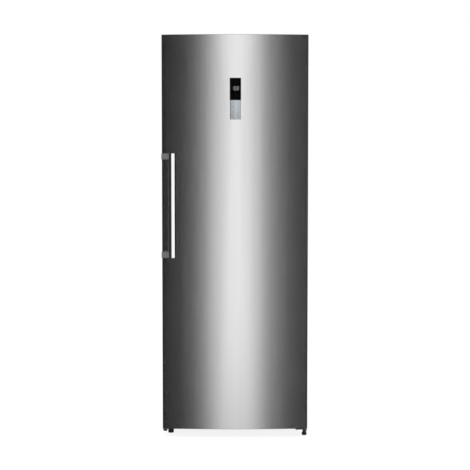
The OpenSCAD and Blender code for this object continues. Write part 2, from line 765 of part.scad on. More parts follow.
module door_skin() color(steel) difference() {
    door_body(0, skin_z0, skin_z1);
    door_body(skin_t, skin_z0 - eps, skin_z1 + eps);
    box(-door_x + fold_w, door_x - fold_w, y_d - skin_t - eps, y_d + eps, skin_z0 - eps, skin_z1 + eps);
    display_pocket(0);
    tongue_room();
    for (p = handle_studs) rod_y(p.x, p.y, screw_r, y_e - 20, y_e + 4);
}

// The ring of the dyke, its walls set in by g
module dyke(g, y0) draw_ring([dyke_x - g, dyke_z0 + g, dyke_z1 - g, dyke_r - g],
    [well_x + g, well_z0 - g, well_z1 + g, dyke_r - dyke_w / 2 + g], y0, y_d + dyke_out - g);
// A ring between two rounded outlines, each given as half width, bottom, top and corner radius
module draw_ring(outer, inner, y0, y1) draw_back(y0, y1) difference() {
    rounded(-outer[0], outer[0], outer[1], outer[2], outer[3]);
    rounded(-inner[0], inner[0], inner[1], inner[2], inner[3]);
}

module door_foam() color("khaki") difference() {
    door_body(skin_t, foam_z0, foam_z1);
    display_pocket(0);
    for (p = handle_studs) rod_y(p.x, p.y, screw_head_r, y_e - 20, stud_y + stud_head_h);
}

module dyke_foam() color("khaki") dyke(liner_t, y_d - skin_t);

// The lugs inside the well that the bins hang on
lug_w = 16;
lug_y = y_d + dyke_out - 4 - lug_w;
lug_drop = 20;
module bin_lugs(i) both_sides() box(well_x - lug_out, well_x + eps, lug_y, lug_y + lug_w,
    bin_z(i) + bin_h - lug_drop - lug_h, bin_z(i) + bin_h - lug_drop);

module door_liner() color("white") {
    difference() {
        union() {
            box(-door_x + fold_w, door_x - fold_w, y_d - skin_t, y_d, skin_z0, skin_z1);
            dyke(0, y_d - skin_t);
        }
        dyke(liner_t, y_d - 2 * skin_t);
        tongue_room();
    }
    for (i = [0:bin_n - 1]) bin_lugs(i);
}

// The gasket: a foot on the liner, narrow bellows and the magnet head against the cabinet
gasket_x = dyke_x + 16;
module gasket_ring(inset, w, y0, y1) {
    o = gasket_x + w + inset - dyke_x;
    n = gasket_x + inset - dyke_x;
    draw_ring([dyke_x + o, dyke_z0 - o, dyke_z1 + o, dyke_r + o],
        [dyke_x + n, dyke_z0 - n, dyke_z1 + n, dyke_r + n], y0, y1);
}
module door_gasket() color("grey") {
    gasket_ring(0, gasket_w, y_d, y_d + 0.3 * gasket_t);
    gasket_ring(gasket_w * 0.3, gasket_w * 0.4, y_d + 0.3 * gasket_t, y_d + 0.5 * gasket_t);
    gasket_ring(2, gasket_w - 4, y_d + 0.5 * gasket_t, y_f - fit);
}

module door_top_cap() color(dark) difference() {
    union() {
        door_body(0, skin_z1, door_z1);
        door_body(skin_t, foam_z1, skin_z1);
    }
    tongue_room();
    rod_z(ax, ay, bush_d / 2, foam_z1 - eps, door_z1);
}

// The lower cap has a round boss at each end, so that the door can be hung on either side;
// a plug closes the spare one
module door_bottom_cap() color(dark) difference() {
    union() {
        door_body(0, door_z0, skin_z0);
        door_body(skin_t, skin_z0, foam_z0);
        for (x = [-ax, ax]) translate([x, ay, plate_z1 + hinge_gap]) rotate_extrude() polygon(concat([[0, 0]],
            arc([boss_r - 2, 2], 2, -90, 0, 4), [[boss_r, door_z0 - plate_z1], [0, door_z0 - plate_z1]]));
        translate([-ax, ay, plate_z1 + hinge_gap]) rotate_extrude() polygon(concat([[0, -spare_out]],
            arc([spare_r - 1.5, 1.5 - spare_out], 1.5, -90, 0, 4), [[spare_r, eps], [0, eps]]));
    }
    rod_z(ax, ay, bush_d / 2, plate_z1, foam_z0 + eps);
}

module hinge_bushes() color("white") {
    difference() {
        rod_z(ax, ay, bush_d / 2, foam_z1, z_1 - hinge_gap);
        rod_z(ax, ay, pin_r + pin_play, door_z1 - hinge_t - pin_in - 1, z_1);
    }
    difference() {
        rod_z(ax, ay, bush_d / 2, plate_z1 + hinge_gap, foam_z0);
        rod_z(ax, ay, pin_r + pin_play, plate_z1, door_z0 + pin_in + 1);
    }
}

// Handle

// Plan of the bar: a bright face turned a little to the right, a slanted one to the left that ends in
// a narrow lip, and a back that is hollowed for the fingers
bar_back = bar_y + bar_t;
bar_x = bracket_x + bar_bevel;
face_x = bar_x + bar_face - 1;
face_y = bar_y + (bar_face - 1.8) * tan(bar_turn);
bar_lip = 0.6;
bar_outline = [[bracket_x + 1.2, bar_back + 5], [bracket_x, bar_back + 3.5], [bracket_x, bar_back + 1],
    [bracket_x + bar_lip, bar_back + 1], [bar_x, bar_y + 0.6], [bar_x + 0.8, bar_y], [face_x, face_y],
    [face_x + 1, face_y + 1.2], [face_x + 1, bar_back - 2], [face_x - 2, bar_back + 1]];

module handle_bar() color("white") raise(handle_z, bar_z1) polygon(bar_outline);

bracket_outline = concat([[bracket_x, y_e + 2], [-door_x, y_e + door_r + 3]],
    arc([-door_x + 4, bar_back + 5], 4, 180, 270), [[bracket_x, bar_back + 1]]);
web_outline = [[bracket_x - eps, y_e + 2], [bracket_x - eps, bar_back - 1], [bracket_x + 12, bar_back - 1],
    [bracket_x + 6, y_e + 2]];

module handle_brackets() color("grey") difference() {
    for (z = [handle_z, bar_z1 - bracket_h]) {
        raise(z, z + bracket_h) polygon(bracket_outline);
        raise(z, z + bracket_h) polygon(web_outline);
    }
    door_body(0, handle_z - eps, bar_z1 + eps);
    raise(handle_z - eps, bar_z1 + eps) polygon(bar_outline);
    for (p = handle_studs) rod_y(p.x, p.y, screw_r, bar_back + 14, y_e + 4);
}

module handle_screws() color(steel) for (p = handle_studs) {
    rod_y(p.x, p.y, screw_r, bar_back + 14, stud_y);
    rod_y(p.x, p.y, screw_head_r, stud_y, stud_y + stud_head_h);
}

// Display module

module display_frame() color("silver") at_display() difference() {
    box(-disp_w / 2, disp_w / 2, disp_y, disp_y + disp_d, disp_z, disp_z + disp_h);
    box(-disp_w / 2 + disp_rim, disp_w / 2 - disp_rim, disp_y - eps, disp_y + disp_d - 2, pad_z, pad_z + pad_h);
    box(-disp_w / 2 + disp_rim, disp_w / 2 - disp_rim, disp_y - eps, disp_y + disp_d - 2, lens_z, lens_z + lens_h);
}

module display_lens() color("black") at_display()
    box(-disp_w / 2 + disp_rim, disp_w / 2 - disp_rim, disp_y + 0.4, disp_y + 2.4, lens_z, lens_z + lens_h);

// Figures of seven bars behind the window
digit_w = 9;
digit_h = 18;
digit_z = lens_z + 0.45 * lens_h;
digit_bar = 1.6;
module digit(x) {
    y0 = disp_y + 2.6;
    y1 = disp_y + 6.4;
    for (k = [0, 1, 2]) box(x + digit_bar, x + digit_w - digit_bar, y0, y1,
        digit_z + k * (digit_h - digit_bar) / 2, digit_z + k * (digit_h - digit_bar) / 2 + digit_bar);
    for (dx = [0, digit_w - digit_bar], k = [0, 1]) box(x + dx, x + dx + digit_bar, y0, y1,
        digit_z + 1 + k * (digit_h / 2), digit_z + digit_h / 2 - 1 + k * (digit_h / 2));
}

// The board carries the figures and one switch behind each key
module display_board() color("darkgreen") at_display() {
    box(-disp_w / 2 + disp_rim, disp_w / 2 - disp_rim, disp_y + 6.4, disp_y + 8, lens_z, lens_z + lens_h);
    digit(-7.4);
    digit(6.3);
    box(-14, -10, disp_y + 2.6, disp_y + 6.4, digit_z + digit_h / 2 - 1, digit_z + digit_h / 2 + 1);
    box(-disp_w / 2 + disp_rim, disp_w / 2 - disp_rim, disp_y + 6.4, disp_y + 8, pad_z, pad_z + pad_h);
    box(-8, 8, disp_y + 8, disp_y + disp_d - 2, lens_z + 10, lens_z + lens_h - 10);
    box(-8, 8, disp_y + 8, disp_y + disp_d - 2, pad_z + 10, pad_z + pad_h - 10);
    for (i = [0:key_n - 1]) box(-3, 3, key_back + key_travel + fit,
        disp_y + 6.4, key_zc(i) - 3, key_zc(i) + 3);
}

key_h = pad_h / key_n;
key_back = disp_y + 1 + key_t;
function key_zc(i) = pad_z + (i + 0.5) * key_h;
module key(i) color("lightsteelblue") at_display() {
    w = disp_w / 2 - disp_rim - key_gap;
    h = key_h / 2 - key_gap;
    translate([0, 0, key_zc(i)]) {
        draw_back(disp_y + 0.4, disp_y + 0.4 + key_t) rounded(-w, w, -h, h, 1.5);
        box(-w + 3, w - 3, disp_y + 0.4 + key_t, key_back, -h + 3, h - 3);
    }
}

// Inside

module shelf_glass(i) color("lightcyan", 0.5) box(-in_x + 1.5, in_x - 1.5, shelf_y0 + 4, shelf_y1 - 4,
    ledge_z(i), ledge_z(i) + glass_t);

// Trims grip the front and rear edges of the glass, between the ledges
module shelf_trim(i) color("whitesmoke") {
    x = in_x - ledge_out - 1.5;
    z = ledge_z(i);
    drop = trim_h - glass_t - 2;
    draw_across(-x, x) polygon([[shelf_y0, z - drop + 3], [shelf_y0 + 3, z - drop], [shelf_y0 + 12, z - 2],
        [shelf_y0 + 12, z], [shelf_y0 + 4, z], [shelf_y0 + 4, z + glass_t], [shelf_y0 + 12, z + glass_t],
        [shelf_y0 + 11, z + glass_t + 2], [shelf_y0 + 2, z + glass_t + 2], [shelf_y0, z + glass_t]]);
    draw_across(-x, x) polygon([[shelf_y1, z - 2], [shelf_y1 - 10, z - 2], [shelf_y1 - 10, z], [shelf_y1 - 4, z],
        [shelf_y1 - 4, z + glass_t], [shelf_y1 - 10, z + glass_t], [shelf_y1 - 10, z + glass_t + 2],
        [shelf_y1 - 2, z + glass_t + 12], [shelf_y1, z + glass_t + 12]]);
}

// Chromed rack for lying bottles: cross bars on the ledges and pairs of wires that cradle a bottle
rack_bar_t = 4;
module bottle_rack() color("silver") {
    z = ledge_z(rack_row);
    r = wire_d / 2;
    x1 = in_x - ledge_out - 20;
    for (y = [shelf_y0 + 6, shelf_y1 - 14]) box(-in_x + 2, in_x - 2, y, y + 8, z, z + rack_bar_t);
    pitch = 2 * x1 / (wire_n - 1);
    for (i = [0:wire_n - 1]) rod_y(-x1 + (i + (i % 2 == 0 ? 0.12 : -0.12)) * pitch,
        z + rack_bar_t + 0.6 * r, r, shelf_y0, shelf_y1);
}

// Drawer outlines: from the front, and from the side with the step over the machine compartment
drawer_top = ledge_z0 - ledge_h - 6;
drawer_y1 = y_s + 150;
grip_w = 100;
grip_h = 18;
grip_drop = 16;
function tub_front(g) = concat(
    arc([in_x - drawer_gap - liner_r, in_z0 + fit + liner_r], liner_r - g, -90, 0, 8),
    [[in_x - drawer_gap - g, drawer_top + (g > 0 ? eps : 0)], [drawer_gap / 2 + g, drawer_top + (g > 0 ? eps : 0)]],
    arc([drawer_gap / 2 + 10, in_z0 + fit + 10], 10 - g, 180, 270));
function tub_side(g) = [[shelf_y0 + g, in_z0 + fit + g], [y_s - drawer_gap - g, in_z0 + fit + g],
    [y_s - drawer_gap - g, z_s + fit + g], [drawer_y1 - g, z_s + fit + g],
    [drawer_y1 - g, drawer_top + (g > 0 ? eps : 0)], [shelf_y0 + g, drawer_top + (g > 0 ? eps : 0)]];
module tub(g) intersection() {
    draw_back(shelf_y0 - eps, drawer_y1 + eps) polygon(tub_front(g));
    draw_across(0, in_x) polygon(tub_side(g));
}
module drawer() {
    difference() {
        tub(0);
        tub(tub_t);
        // Grip slot along the top of the front wall
        draw_back(shelf_y0 - eps, shelf_y0 + tub_t + eps) rounded(in_x / 2 - grip_w / 2, in_x / 2 + grip_w / 2,
            drawer_top - grip_drop - grip_h, drawer_top - grip_drop, 8);
    }
}
module drawer_right() color("lightblue", 0.6) drawer();
module drawer_left() color("lightblue", 0.6) mirror([1, 0, 0]) drawer();

// Duct over the evaporator and the fan, with outlets for each compartment and a round grille
duct_chamfer = 26;
outlet_n = 3;
outlet_pitch = 12;
outlet_up = 60;
outlet_x = duct_w / 2 - 50;
function duct_plan(g) = [[duct_w / 2 - g, in_y + (g > 0 ? eps : 0)], [-duct_w / 2 + g, in_y + (g > 0 ? eps : 0)],
    [-duct_w / 2 + g, in_y - 12], [-duct_w / 2 + duct_chamfer + g, duct_y + g],
    [duct_w / 2 - duct_chamfer - g, duct_y + g], [duct_w / 2 - g, in_y - 12]];
ring_n = 4;
ring_gap = 5;
spoke_n = 8;
module fan_grille() difference() {
    for (i = [1:ring_n]) difference() {
        r = i * fan_r / ring_n;
        rod_y(0, fan_z, r, duct_y - eps, duct_y + duct_wall + eps);
        rod_y(0, fan_z, r - ring_gap, duct_y - 2 * eps, duct_y + duct_wall + 2 * eps);
    }
    for (k = [0:spoke_n - 1]) translate([0, duct_y, fan_z]) rotate([0, 360 * k / spoke_n, 0])
        translate([0, -2 * eps, -1.5]) cube([fan_r + 2, duct_wall + 4 * eps, 3]);
}
module air_duct_cover() color("white") difference() {
    raise(duct_z0, duct_z1) polygon(duct_plan(0));
    raise(duct_z0 + duct_wall, duct_z1 - duct_wall) polygon(duct_plan(duct_wall));
    fan_grille();
    for (i = [2:2:ledge_n - 3], k = [0:outlet_n - 1]) both_sides() {
        z = ledge_z(i) + outlet_up + k * outlet_pitch;
        box(outlet_x - outlet_w, outlet_x, duct_y - eps, duct_y + duct_wall + eps, z, z + outlet_h);
    }
}

// Finned coil: plates on a serpentine tube, and two end plates that reach the back wall
evap_w = duct_w - 100;
evap_y0 = duct_y + duct_wall + 4;
evap_rows = 5;
module evaporator() color("lightgrey") {
    pitch = evap_w / (fin_n - 1);
    for (i = [0:fin_n - 1]) box(-evap_w / 2 + i * pitch - 0.4, -evap_w / 2 + i * pitch + 0.4, evap_y0,
        (i == 0 || i == fin_n - 1) ? in_y : in_y - 6, evap_z, evap_z + evap_h);
    row = evap_h / evap_rows;
    y = (evap_y0 + in_y) / 2 - 2;
    for (k = [0:evap_rows - 1]) rod_x(y, evap_z + (k + 0.5) * row, 4, -evap_w / 2 - 6, evap_w / 2 + 6);
    for (k = [0:evap_rows - 2]) translate([(k % 2 == 0 ? 1 : -1) * (evap_w / 2 + 6), y, evap_z + (k + 1) * row])
        rotate([90, 0, 0]) rotate_extrude(angle = 180, start = k % 2 == 0 ? -90 : 90)
            translate([row / 2, 0]) circle(r = 4);
}

fan_y0 = duct_y + duct_wall + 2;
fan_t = 18;
module fan_motor() color(dark) {
    rod_y(0, fan_z, 24, fan_y0 + fan_t + 1, in_y - 3);
    rod_y(0, fan_z, shaft_r, fan_y0 + 2, fan_y0 + fan_t + 1);
    draw_back(in_y - 3, in_y) rounded(-fan_r - 8, fan_r + 8, fan_z - 12, fan_z + 12, 6);
}

// Pitched blades, trimmed to the fan's circle
blade_pitch = 35;
module fan_impeller() color("white") difference() {
    union() {
        rod_y(0, fan_z, 15, fan_y0, fan_y0 + fan_t);
        intersection() {
            rod_y(0, fan_z, fan_r - 3, fan_y0 + 1, fan_y0 + fan_t - 1);
            translate([0, fan_y0 + fan_t / 2, fan_z]) for (k = [0:fan_n - 1]) rotate([0, 360 * k / fan_n, 0])
                translate([12, 0, 0]) rotate([blade_pitch, 0, 0]) translate([0, -1, -15]) cube([fan_r, 2, 30]);
        }
    }
    rod_y(0, fan_z, shaft_r + pin_play, fan_y0 + 1.8, fan_y0 + fan_t + eps);
}

// Lamp in the ceiling, round at its lower edges
module lamp_lens() color("ivory") draw_back(y_f + lamp_in, y_f + lamp_in + lamp_d) difference() {
    rounded(-lamp_w / 2, lamp_w / 2, in_z1 - lamp_h, in_z1 + lamp_h, 8);
    translate([-lamp_w, in_z1]) square([2 * lamp_w, 2 * lamp_h]);
}

// Bin that hangs on two lugs: a tub with thick ends, each with a slot that is open below
bin_x = well_x - 0.5;
bin_r = 10;
bin_end = 30;
bin_y0 = y_d + fit;
bin_y1 = y_f + bin_in;
module bin(i) color("azure", 0.7) translate([0, 0, bin_z(i)]) {
    end_t = lug_out + tub_t;
    difference() {
        raise(0, bin_h) rounded(-bin_x, bin_x, bin_y0, bin_y1, bin_r);
        raise(tub_t, bin_h + eps)
            rounded(-bin_x + end_t, bin_x - end_t, bin_y0 + tub_t, bin_y1 - tub_t, bin_r - tub_t);
        both_sides() box(well_x - lug_out - fit, well_x, lug_y - fit, lug_y + lug_w + fit,
            -eps, bin_h - lug_drop + fit);
        // The front wall is lower between the ends
        draw_back(bin_y1 - tub_t - eps, bin_y1 + eps)
            rounded(-bin_x + bin_end, bin_x - bin_end, bin_h - bin_low, bin_h + bin_low, bin_low / 2);
    }
}

side_panel_left();
side_panel_right();
top_panel();
back_panel();
cabinet_foam();
inner_liner();
base_plate();
compressor_deck();
rear_cover();
cord_gland();
compressor();
compressor_mounts();
refrigerant_tubes();
drain_tray();
top_hinge();
hinge_covers();
bottom_hinge();
hinge_screws();
air_duct_cover();
evaporator();
fan_motor();
lamp_lens();
shelf_glass(shelf_rows[0]);  // shelf_glass_1
shelf_glass(shelf_rows[1]);  // shelf_glass_2
shelf_glass(shelf_rows[2]);  // shelf_glass_3
shelf_glass(shelf_rows[3]);  // shelf_glass_4
shelf_trim(shelf_rows[0]);  // shelf_trim_1
shelf_trim(shelf_rows[1]);  // shelf_trim_2
shelf_trim(shelf_rows[2]);  // shelf_trim_3
shelf_trim(shelf_rows[3]);  // shelf_trim_4
bottle_rack();
fan_impeller();
foot_right();
foot_left();
roller_right();
roller_left();
drawer_right();
drawer_left();
door_skin();
door_foam();
dyke_foam();
door_liner();
door_gasket();
door_top_cap();
door_bottom_cap();
hinge_bushes();
handle_bar();
handle_brackets();
handle_screws();
display_frame();
display_lens();
display_board();
key(3);  // key_1
key(2);  // key_2
key(1);  // key_3
key(0);  // key_4
bin(0);  // bin_1
bin(1);  // bin_2
bin(2);  // bin_3
bin(3);  // bin_4
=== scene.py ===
# A single door larder refrigerator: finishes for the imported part, its small pieces and a plain studio.
import json
import math

import bpy
import numpy as np
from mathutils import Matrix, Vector


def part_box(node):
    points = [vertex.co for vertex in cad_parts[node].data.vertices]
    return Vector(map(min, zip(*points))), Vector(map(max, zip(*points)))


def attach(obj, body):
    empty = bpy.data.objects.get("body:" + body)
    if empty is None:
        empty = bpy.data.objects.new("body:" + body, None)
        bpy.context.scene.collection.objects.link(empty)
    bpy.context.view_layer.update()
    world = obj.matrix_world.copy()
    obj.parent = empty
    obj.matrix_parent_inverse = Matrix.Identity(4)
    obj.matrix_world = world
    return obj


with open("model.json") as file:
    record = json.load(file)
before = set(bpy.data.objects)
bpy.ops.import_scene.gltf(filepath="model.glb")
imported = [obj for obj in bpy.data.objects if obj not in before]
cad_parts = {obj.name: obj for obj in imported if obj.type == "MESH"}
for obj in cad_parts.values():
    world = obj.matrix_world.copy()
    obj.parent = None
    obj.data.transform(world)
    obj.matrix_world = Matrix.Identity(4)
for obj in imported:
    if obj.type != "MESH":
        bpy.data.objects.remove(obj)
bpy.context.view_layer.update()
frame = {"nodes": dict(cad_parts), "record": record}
nodes = frame["nodes"]
print("frame loaded:", len(nodes), "nodes")


class Value:
    # One number that varies over a surface; Python's operators on it add Math nodes
    def __init__(self, shader, socket):
        self.shader, self.socket = shader, socket

    def math(self, operation, *others):
        inputs = dict(enumerate((self,) + others))
        return self.shader.node("ShaderNodeMath", {"operation": operation}, inputs)

    def __add__(self, other): return self.math("ADD", other)
    def __sub__(self, other): return self.math("SUBTRACT", other)
    def __mul__(self, other): return self.math("MULTIPLY", other)
    def __truediv__(self, other): return self.math("DIVIDE", other)
    def __rsub__(self, other): return (self * -1) + other
    __radd__ = __add__
    __rmul__ = __mul__


class Shader:
    # A node tree, of a new material unless one is given
    def __init__(self, name, tree=None):
        if tree is None:
            self.material = bpy.data.materials.new(name)
            self.material.use_nodes = True
            tree = self.material.node_tree
        self.tree = tree
        self.tree.nodes.clear()

    def node(self, kind, settings=None, inputs=None, out=0):
        # Settings go first, since some of them decide which sockets a node has
        made = self.tree.nodes.new(kind)
        for key, value in (settings or {}).items():
            setattr(made, key, value)
        for key, value in (inputs or {}).items():
            self.feed(made.inputs[key], value)
        return Value(self, made.outputs[out])

    def feed(self, socket, value):
        if isinstance(value, Value):
            self.tree.links.new(value.socket, socket)
        elif socket.type == "RGBA" and len(value) == 3:
            socket.default_value = (*value, 1)
        else:
            socket.default_value = value

    def place(self, stretch):
        at = self.node("ShaderNodeTexCoord", out="Object")
        return self.node("ShaderNodeMapping", inputs={"Vector": at, "Scale": stretch})

    def noise(self, scale, stretch=(1, 1, 1), detail=2):
        return self.node("ShaderNodeTexNoise",
                         inputs={"Vector": self.place(stretch), "Scale": scale, "Detail": detail})

    def cells(self, scale):
        return self.node("ShaderNodeTexVoronoi", inputs={"Vector": self.place((1, 1, 1)), "Scale": scale})

    def grey(self, tone):
        return self.node("ShaderNodeCombineColor", inputs={"Red": tone, "Green": tone, "Blue": tone})

    def split(self, vector):
        outputs = self.node("ShaderNodeSeparateXYZ", inputs={0: vector}).socket.node.outputs
        return [Value(self, socket) for socket in outputs]

    def axes(self):
        # Across, depth and height of the point, in metres of the shared frame
        return self.split(self.node("ShaderNodeTexCoord", out="Object"))

    def rays(self, *kinds):
        # One for rays of these kinds, zero for the others
        outputs = self.node("ShaderNodeLightPath").socket.node.outputs
        return sum(Value(self, outputs[f"Is {kind} Ray"]) for kind in kinds)

    def ramp(self, value, low, high, toLow=0.0, toHigh=1.0, soft=True):
        settings = {"interpolation_type": "SMOOTHSTEP" if soft else "LINEAR"}
        return self.node("ShaderNodeMapRange", settings, {"Value": value, "From Min": low, "From Max": high,
                                                          "To Min": toLow, "To Max": toHigh})

    def spread(self, noise, low, high, reach=0.2):
        # Noise lies around 0.5; its middle part, up to reach from there, becomes low to high
        return self.ramp(noise, 0.5 - reach, 0.5 + reach, low, high)

    def between(self, value, begin, full, last, finish, soft=True):
        # Rises from begin to full and falls from last to finish
        return self.ramp(value, begin, full, soft=soft) * self.ramp(value, last, finish, 1.0, 0.0, soft)

    def mix(self, factor, first, second):
        # The three sockets of a Mix node that mixes colours, and its colour output
        return self.node("ShaderNodeMix", {"data_type": "RGBA"}, {0: factor, 6: first, 7: second}, 2)

    def tint(self, noise, colours, reach=0.2):
        # From the first colour to the second as the noise rises
        return self.mix(self.spread(noise, 0, 1, reach), *colours)

    def bump(self, height, strength, depth=0.0003):
        return self.node("ShaderNodeBump", inputs={"Height": height, "Strength": strength, "Distance": depth})

    def end(self, kind, surface):
        self.feed(self.tree.nodes.new(kind).inputs["Surface"], surface)

    def finish(self, **looks):
        # Principled sockets are named in camelCase here
        words = {"baseColor": "Base Color", "roughness": "Roughness", "metallic": "Metallic",
                 "normal": "Normal", "coat": "Coat Weight", "alpha": "Alpha", "glow": "Emission Color",
                 "glowStrength": "Emission Strength", "specular": "Specular IOR Level"}
        inputs = {words[key]: value for key, value in looks.items()}
        self.end("ShaderNodeOutputMaterial", self.node("ShaderNodeBsdfPrincipled", inputs=inputs))
        return self.material


def shades(colour, tones):
    # A darker and a lighter neighbour of a colour
    return [[min(1, c * tone) for c in colour] for tone in tones]


# Sizes and places in the looks are metres of the shared frame, and noise scales are per metre

# The edge spans mark the rolled edges, whose colour keeps only a share of itself as painted shade
doorLook = {"tint": 0.80, "rough": 0.16, "grain": 260, "grainStretch": (4, 4, 0.035), "grainBump": 0.05,
            "bumpDepth": 0.0002, "grainTone": 0.018, "grainRough": 0.02,
            "cloud": 6, "cloudStretch": (5, 5, 0.12), "cloudTone": 0.01,
            "edgeAcross": (0.3248, 0.3278), "edgeDepth": (-0.2962, -0.2932), "edgeShadeTone": 0.12}


def brushedDoor():
    # Vertical grain: noise squeezed across and drawn out along Z varies tone, gloss and height.
    # The rolled edges get a painted shade in their colour, standing in for the little light they mirror.
    look = doorLook
    s = Shader("doorSteel")
    fine = s.noise(look["grain"], look["grainStretch"], 3)
    cloud = s.noise(look["cloud"], look["cloudStretch"])
    across, depth, _ = s.axes()
    # Mask of the rolled edges, where the colour is darkened as painted shade
    rolledEdgeShade = s.ramp(across.math("ABSOLUTE"), *look["edgeAcross"]) \
        * s.ramp(depth, *look["edgeDepth"], 1.0, 0.0)
    tone = s.spread(fine, -look["grainTone"], look["grainTone"]) \
        + s.spread(cloud, -look["cloudTone"], look["cloudTone"]) + look["tint"]
    return s.finish(baseColor=s.grey(tone * (1 - rolledEdgeShade * (1 - look["edgeShadeTone"]))), metallic=1.0,
                    roughness=s.spread(fine, -look["grainRough"], look["grainRough"], 0.3) + look["rough"],
                    normal=s.bump(fine, look["grainBump"], look["bumpDepth"]))


# The tones make the pits of the pebbled paint darker, a painted shade
paintLook = {"tones": (0.94, 1.04), "pebbleRough": 0.04, "rubbed": 3, "rubbedRough": 0.03}


def paintedSteel(name, colour, rough, peel=0.12, metallic=0.0, grain=420):
    # Powder coat: a fine pebbled skin, its colour a little darker in its pits as painted shade, rubbed a
    # little glossier in places
    look = paintLook
    s = Shader(name)
    pebble = s.noise(grain, detail=1)
    rubbed = s.noise(look["rubbed"], detail=4)
    gloss = s.spread(pebble, rough - look["pebbleRough"], rough + look["pebbleRough"]) \
        + s.spread(rubbed, -look["rubbedRough"], look["rubbedRough"])
    # The colour follows the pebbles' height, a painted shade in the pits
    return s.finish(baseColor=s.tint(pebble, shades(colour, look["tones"])), metallic=metallic,
                    roughness=gloss, normal=s.bump(pebble, peel))


plasticLook = {"tones": (0.98, 1.02), "roughSpread": 0.05, "flow": 5, "flowStretch": (1, 1, 0.3)}


def mouldedPlastic(name, colour, rough, grain=900, peel=0.08, coat=0.0):
    # Fine moulding texture, faint streaks of flow
    look = plasticLook
    s = Shader(name)
    fine = s.noise(grain)
    flow = s.noise(look["flow"], look["flowStretch"])
    gloss = s.spread(fine, rough - look["roughSpread"], rough + look["roughSpread"])
    return s.finish(baseColor=s.tint(flow, shades(colour, look["tones"]), 0.3), roughness=gloss, coat=coat,
                    normal=s.bump(fine, peel))


clearLook = {"specular": 0.6, "coat": 0.3, "haze": 30, "hazeRough": 0.06, "scratch": 160,
             "scratchStretch": (1, 1, 0.08), "scratchFrom": (0.62, 0.72), "scratchRough": 0.12}


def clearPlastic(name, colour, rough, alpha):
    # Slightly hazy, with fine scratches in the gloss
    look = clearLook
    s = Shader(name)
    haze = s.spread(s.noise(look["haze"], detail=3), rough, rough + look["hazeRough"])
    scratch = s.noise(look["scratch"], look["scratchStretch"])
    return s.finish(baseColor=colour, alpha=alpha, specular=look["specular"], coat=look["coat"],
                    roughness=haze + s.ramp(scratch, *look["scratchFrom"], 0.0, look["scratchRough"]))


metalLook = {"tones": (0.95, 1.03), "rough": (-0.06, 0.08), "grain": 300}


def bareMetal(name, colour, rough, bump=0.05):
    # Unpainted, with a fine even grain in tone, gloss and height
    look = metalLook
    s = Shader(name)
    fine = s.noise(look["grain"], detail=3)
    low, high = look["rough"]
    return s.finish(baseColor=s.tint(fine, shades(colour, look["tones"])), metallic=1.0,
                    roughness=s.spread(fine, rough + low, rough + high, 0.25), normal=s.bump(fine, bump))


zincLook = {"colour": (0.62, 0.63, 0.64), "tones": (0.93, 1.0), "metallic": 0.85, "rough": (0.33, 0.47),
            "spangle": 55, "spangleSize": 0.9, "grain": 350, "bump": 0.06}


def zincSheet():
    # Galvanised sheet: a faint spangle of crystals, each with its own tone and gloss
    look = zincLook
    s = Shader("backSheet")
    spangle = s.ramp(s.cells(look["spangle"]), 0.0, look["spangleSize"], soft=False)
    return s.finish(baseColor=s.mix(spangle, *shades(look["colour"], look["tones"])),
                    metallic=look["metallic"], roughness=s.ramp(spangle, 0, 1, *look["rough"], False),
                    normal=s.bump(s.noise(look["grain"]), look["bump"]))


# The bar's face lies between two places across and reaches this deep behind its front. Beyond the lip the
# bar's rear edge has a painted highlight.
handleLook = {"tint": 0.92, "tintSpread": 0.02, "face": (-0.2885, -0.2744), "deep": 0.0055, "fade": 0.0003,
              "lip": (-0.3027, -0.3025), "lipHighlightTone": 0.24, "satin": 0.036, "satinSpread": (0.9, 1.1),
              "rough": (0.09, 0.17), "satinRough": 0.35, "specular": 0.02,
              "grain": 250, "grainStretch": (4, 4, 0.05), "bump": 0.03}


def handleMetal():
    # A polished face with a hair-fine grain along the bar, between dark satin sides and a lip with a painted
    # highlight
    look = handleLook
    s = Shader("handleBright")
    fine = s.noise(look["grain"], look["grainStretch"], 3)
    across, depth, _ = s.axes()
    (left, right), fade = look["face"], look["fade"]
    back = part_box("handle_bar")[0][1] + look["deep"]
    face = s.between(across, left - fade, left, right, right + fade, False) \
        * s.ramp(depth, back, back + fade, 1.0, 0.0, False)
    bright = s.spread(fine, -look["tintSpread"], look["tintSpread"]) + look["tint"]
    # Dark satin sides, with a painted highlight past the lip
    satin = s.ramp(across, *look["lip"], look["lipHighlightTone"], look["satin"], False) \
        * s.spread(fine, *look["satinSpread"])
    return s.finish(baseColor=s.grey(bright * face + satin * (1 - face)), metallic=face,
                    roughness=s.spread(fine, *look["rough"], 0.25) + (1 - face) * look["satinRough"],
                    specular=look["specular"], normal=s.bump(fine, look["bump"]))


foamLook = {"colours": ((0.80, 0.70, 0.42), (0.90, 0.82, 0.56)), "rough": 0.9,
            "cells": 380, "cellSize": 0.6, "bump": 0.4, "bumpDepth": 0.0005}


def foamMaterial():
    # Sprayed insulation with open cells
    look = foamLook
    s = Shader("foam")
    cells = s.cells(look["cells"])
    return s.finish(baseColor=s.mix(s.ramp(cells, 0.0, look["cellSize"]), *look["colours"]),
                    roughness=look["rough"], normal=s.bump(cells, look["bump"], look["bumpDepth"]))


glassLook = {"colour": (0.74, 0.90, 0.85), "alpha": 0.25, "rough": (0.02, 0.05), "specular": 0.7,
             "smears": 8, "detail": 2}
windowLook = {"colour": (0.001, 0.001, 0.0012), "alpha": 0.55, "rough": (0.05, 0.10), "specular": 0.05,
              "smears": 40, "detail": 3}


def glassMaterial(name, look):
    # Smooth, with faint smears in its gloss: clear greenish shelves, and a smoked window before the figures
    s = Shader(name)
    smears = s.noise(look["smears"], detail=look["detail"])
    return s.finish(baseColor=look["colour"], roughness=s.spread(smears, *look["rough"]),
                    alpha=look["alpha"], specular=look["specular"])


